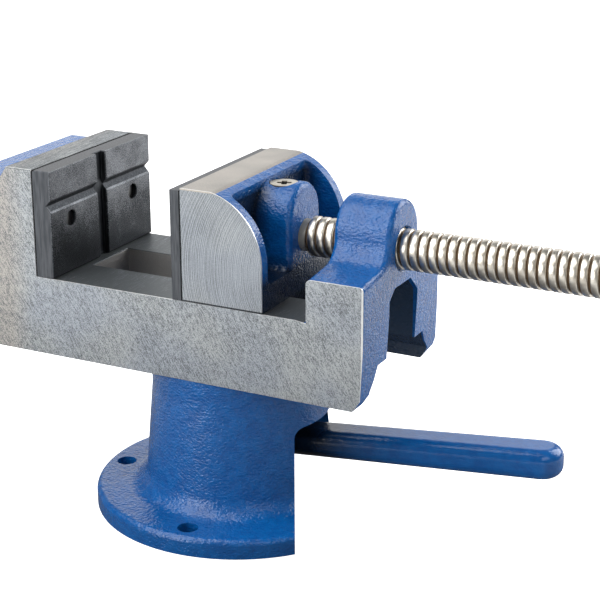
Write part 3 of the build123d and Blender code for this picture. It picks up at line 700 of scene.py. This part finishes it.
# Blued jaw steel: near black, with lighter specks and rubbed patches, and brushed ends, painted darker
# towards the bed as shade. A painted shadow runs as a dark seam where a plate meets its jaw.
def makeJawSteel():
    material, tree, shader, place, split = newMaterial("bluedJawSteel")
    cloud = contrast(tree, grain(tree, place, jawSteel["cloudSize"], detail=3.0), *jawSteel["cloudRange"])
    speck = contrast(tree, grain(tree, place, jawSteel["speckSize"], detail=3.0), *jawSteel["speckRange"])
    streak = contrast(tree, grain(tree, place, jawSteel["streakSize"], stretch=jawSteel["streakStretch"]),
                      *jawSteel["cloudRange"])
    # Painted shade and dark reflection, darker towards the bed
    bottomShade = contrast(tree, split["Z"], vise["bedTop"], vise["bedTop"] + jawSteel["bottomShadeHeight"],
                     *jawSteel["bottomShadeRange"])
    rubbedAndShaded = calculate(tree, "MULTIPLY_ADD", cloud, jawSteel["cloudWeight"], bottomShade)
    rubbedAndShaded = calculate(tree, "MULTIPLY_ADD", speck, jawSteel["speckWeight"], rubbedAndShaded)
    face = allOf(tree, below(tree, split["Z"], plateHigh.z - jawSteel["frontHalf"]),
                 below(tree, sideOf(tree, split), vise["halfWidth"] - jawSteel["frontHalf"]))
    # Faces below the top and within the sides are darker
    brushed = calculate(tree, "MULTIPLY_ADD", face, jawSteel["faceDarker"], jawSteel["brushedTone"])
    brushed = calculate(tree, "MULTIPLY_ADD", streak, jawSteel["streakWeight"], brushed)
    front = near(tree, split["X"], plateHigh.x, jawSteel["frontHalf"])
    tone = blend(tree, front, brushed, rubbedAndShaded, "FLOAT")
    # Painted shadow in the seams where the plates meet their jaws
    seam = anyOf(tree, near(tree, split["X"], plateLow.x, jawSteel["seamWidth"]),
                 allOf(tree, near(tree, split["Z"], plateHigh.z, jawSteel["topHalf"]),
                       near(tree, split["X"], plateLow.x, jawSteel["topSeamWidth"])),
                 near(tree, split["X"], thinHigh.x, jawSteel["seamWidth"]))
    colour = blend(tree, tone, toLinear(jawSteel["dark"]), toLinear(jawSteel["light"]))
    wire(tree, shader, Base_Color=blend(tree, seam, colour, toLinear(jawSteel["seam"])),
         Roughness=anyOf(tree, contrast(tree, tone, 0, 1, *jawSteel["roughRange"]), seam),
         Metallic=calculate(tree, "MULTIPLY_ADD", seam, -jawSteel["metallic"], jawSteel["metallic"]),
         Normal=bumpFrom(tree, tone, jawSteel["bump"]))
    return material


giveMaterial(makeJawSteel(), "fixed_jaw_plate", "moving_jaw_plate")

nickel = {
    "bright": "#d9d4ca",
    "dull": "#b9b2a6",
    "turned": "#a8a294",
    "groove": "#6e5c49",
    # Painted shade in the cross recess and round the head's rim
    "recess": "#1b1917",
    "wearSize": 2.4,
    "wearRange": (0.35, 0.65),
    "smearSize": 0.9,
    "smearRange": (0.3, 0.7, -0.15, 0.15),
    "grimeAndShadeRange": (0.2, 0.8),
    "smoothEnd": 0.0002,
    "turnedMetallic": 0.4,
    "roughRange": (0.3, 0.5),
    "bump": 0.000002,
}


# Bright steel: pale on the crests of the thread, brown with old oil down in the grooves, duller where
# there is no thread. On the cross screw the groove colour is painted shade.
def makeNickel(name, deep, groove):
    material, tree, shader, place, split = newMaterial(name)
    wear = contrast(tree, grain(tree, place, nickel["wearSize"], detail=3.0), *nickel["wearRange"])
    smear = contrast(tree, grain(tree, place, nickel["smearSize"], detail=3.0), *nickel["smearRange"])
    bright = blend(tree, wear, toLinear(nickel["dull"]), toLinear(nickel["bright"]))
    depth = calculate(tree, "ADD", deep(tree, place, split), smear)
    grimeAndShade = contrast(tree, depth, *nickel["grimeAndShadeRange"])
    smooth = contrast(tree, split["X"], thread["start"] + nickel["smoothEnd"],
                      thread["start"] - nickel["smoothEnd"])
    bright = blend(tree, smooth, bright, toLinear(nickel["turned"]))
    wire(tree, shader, Base_Color=blend(tree, grimeAndShade, bright, toLinear(groove)),
         Roughness=contrast(tree, grimeAndShade, 0, 1, *nickel["roughRange"]),
         Metallic=calculate(tree, "MULTIPLY_ADD", smooth, nickel["turnedMetallic"] - 1, 1.0),
         Normal=bumpFrom(tree, wear, nickel["bump"]))
    return material


threadGrime = {"fromMajor": 0.0004, "atRoot": 0.0001}


# 0 on the crests and 1 at the roots, along the threaded stretch
def threadDepth(tree, place, split):
    radius = distanceFrom(tree, place, (0, 0, vise["screwAxis"]), (0, 1, 1))
    depth = contrast(tree, radius, thread["major"] - threadGrime["fromMajor"],
                     thread["root"] + threadGrime["atRoot"])
    return allOf(tree, depth, above(tree, split["X"], thread["start"]))


recessShade = {"fromTop": 0.0001, "atTop": 0.0005, "fromEdge": 0.0007, "atEdge": 0.0003}


# 1 down in the cross recess and round the head's edge, where shade and the rim's shadow are painted dark
def recessDepth(tree, place, split):
    x, y, top = crossScrew["at"]
    radius = distanceFrom(tree, place, (x, y, 0), (1, 1, 0))
    edge = crossScrew["radius"]
    return anyOf(tree, contrast(tree, split["Z"], top - recessShade["fromTop"], top - recessShade["atTop"]),
                 contrast(tree, radius, edge - recessShade["fromEdge"], edge - recessShade["atEdge"]))


giveMaterial(makeNickel("brightSteelThread", threadDepth, nickel["groove"]), "lead_screw")
giveMaterial(makeNickel("brightSteelCrossScrew", recessDepth, nickel["recess"]), "spindle_retaining_screw")

steelGrain = {"size": 0.8, "detail": 3.0, "shade": 0.6}
steels = {
    "turnedSteel": {"colour": "#b4b2ae", "roughness": 0.28,
                    "nodes": ["spindle_head", "spindle_head_pin", "tommy_bar", "bar_knob_upper",
                              "bar_knob_lower"]},
    "plainSteel": {"colour": "#808080", "roughness": 0.4,
                   "nodes": ["fixed_jaw_plate_screws", "moving_jaw_plate_screws", "keeper_plate",
                             "keeper_screws", "thrust_disc", "swivel_bolt", "stop_ring", "clamp_washer"]},
}
# Plain metal with a fine, uneven tone, bright on what a hand turns and greyer on the hidden fasteners
for steelName, values in steels.items():
    material, tree, shader, place, split = newMaterial(steelName, Metallic=1.0,
                                                       Roughness=values["roughness"])
    base = toLinear(values["colour"])
    darker = [steelGrain["shade"] * c for c in base[:3]] + [1.0]
    uneven = grain(tree, place, steelGrain["size"], steelGrain["detail"])
    wire(tree, shader, Base_Color=blend(tree, uneven, darker, base))
    giveMaterial(material, *values["nodes"])
print("steels finished")

# Studio: a pale floor, a white surround and five soft boxes
studio = {
    "floor": "#fbfbfb",
    # Painted shadow on the floor near the part, seen only in reflections
    "underPart": "#6c6c6c",
    "floorSize": 12.0,
    "floorLevel": -0.0002,
    "floorRoughness": 0.9,
    "darkReach": (0.12, 0.32),
    "floorGlow": 0.8,
    "worldRange": (0.0, 0.7),
    "worldFront": 0.1,
    "worldBehind": 0.28,
    "boxes": [
        {"name": "topBox", "at": (-0.45, -0.30, 1.10), "size": 1.0, "power": 11.0},
        {"name": "frontBox", "at": (-0.75, -1.45, 0.65), "size": 1.0, "power": 18.0},
        {"name": "backBox", "at": (-0.70, 1.35, 0.60), "size": 1.2, "power": 5.0},
        {"name": "sideBox", "at": (0.45, 0.55, 0.45), "size": 0.6, "power": 6.0},
        {"name": "rightBox", "at": (0.75, -0.75, 0.80), "size": 0.6, "power": 2.5},
    ],
    "aim": (0.02, 0.0, 0.07),
}
world = bpy.data.worlds.new("studioSurround")
bpy.context.scene.world = world
world.use_nodes = True
surround = world.node_tree
background = surround.nodes["Background"]
background.inputs["Color"].default_value = (1.0, 1.0, 1.0, 1.0)
direction = addNode(surround, "TexCoord").outputs["Generated"]
facing = addNode(surround, "SeparateXYZ", {0: direction}).outputs["Y"]
strength = contrast(surround, facing, *studio["worldRange"], studio["worldFront"], studio["worldBehind"])
# The camera sees the surround as white as the floor
seen = addNode(surround, "LightPath").outputs["Is Camera Ray"]
strength = blend(surround, seen, strength, 1.0, "FLOAT")
surround.links.new(strength, background.inputs["Strength"])
bpy.ops.mesh.primitive_plane_add(size=studio["floorSize"], location=(0, 0, studio["floorLevel"]))
floor = bpy.context.object
floor.name = "studioFloor"
floorMaterial, tree, shader, place, split = newMaterial("paleFloor", Roughness=studio["floorRoughness"])
# The camera sees the floor white. What the part reflects of it is darker close to the part: painted shadow.
pale = toLinear(studio["floor"])
fromCenter = distanceFrom(tree, place, (0, 0, 0), (1, 1, 1))
reflected = blend(tree, contrast(tree, fromCenter, *studio["darkReach"]),
                  toLinear(studio["underPart"]), pale)
seen = addNode(tree, "LightPath").outputs["Is Camera Ray"]
shader.inputs["Emission Color"].default_value = pale
wire(tree, shader, Base_Color=blend(tree, seen, reflected, pale),
     Emission_Strength=calculate(tree, "MULTIPLY", seen, studio["floorGlow"]))
floor.data.materials.append(floorMaterial)
aim = Vector(studio["aim"])
for box in studio["boxes"]:
    bpy.ops.object.light_add(type="AREA", location=box["at"])
    light = bpy.context.object
    light.name = box["name"]
    light.data.size = box["size"]
    light.data.energy = box["power"]
    light.rotation_euler = (aim - Vector(box["at"])).to_track_quat("-Z", "Y").to_euler()

# The photograph's viewpoint, solved from the vise's own edges
view = {"at": (0.32179, -0.56922, 0.31151), "azimuth": 27.27, "elevation": 18.91, "roll": -0.22,
        "lens": 99.82, "sensor": 36.0, "clip": 0.05}
bpy.ops.object.camera_add(location=view["at"])
camera = bpy.context.object
camera.name = "studioCamera"
camera.data.sensor_width = view["sensor"]
camera.data.lens = view["lens"]
camera.data.clip_start = view["clip"]
aimed = Euler((math.radians(90 - view["elevation"]), 0, math.radians(view["azimuth"]))).to_matrix().to_4x4()
camera.matrix_world = (Matrix.Translation(view["at"]) @ aimed
                       @ Matrix.Rotation(math.radians(view["roll"]), 4, "Z"))
bpy.context.scene.camera = camera
bpy.context.scene.view_settings.view_transform = "Standard"
print("studio and camera set")
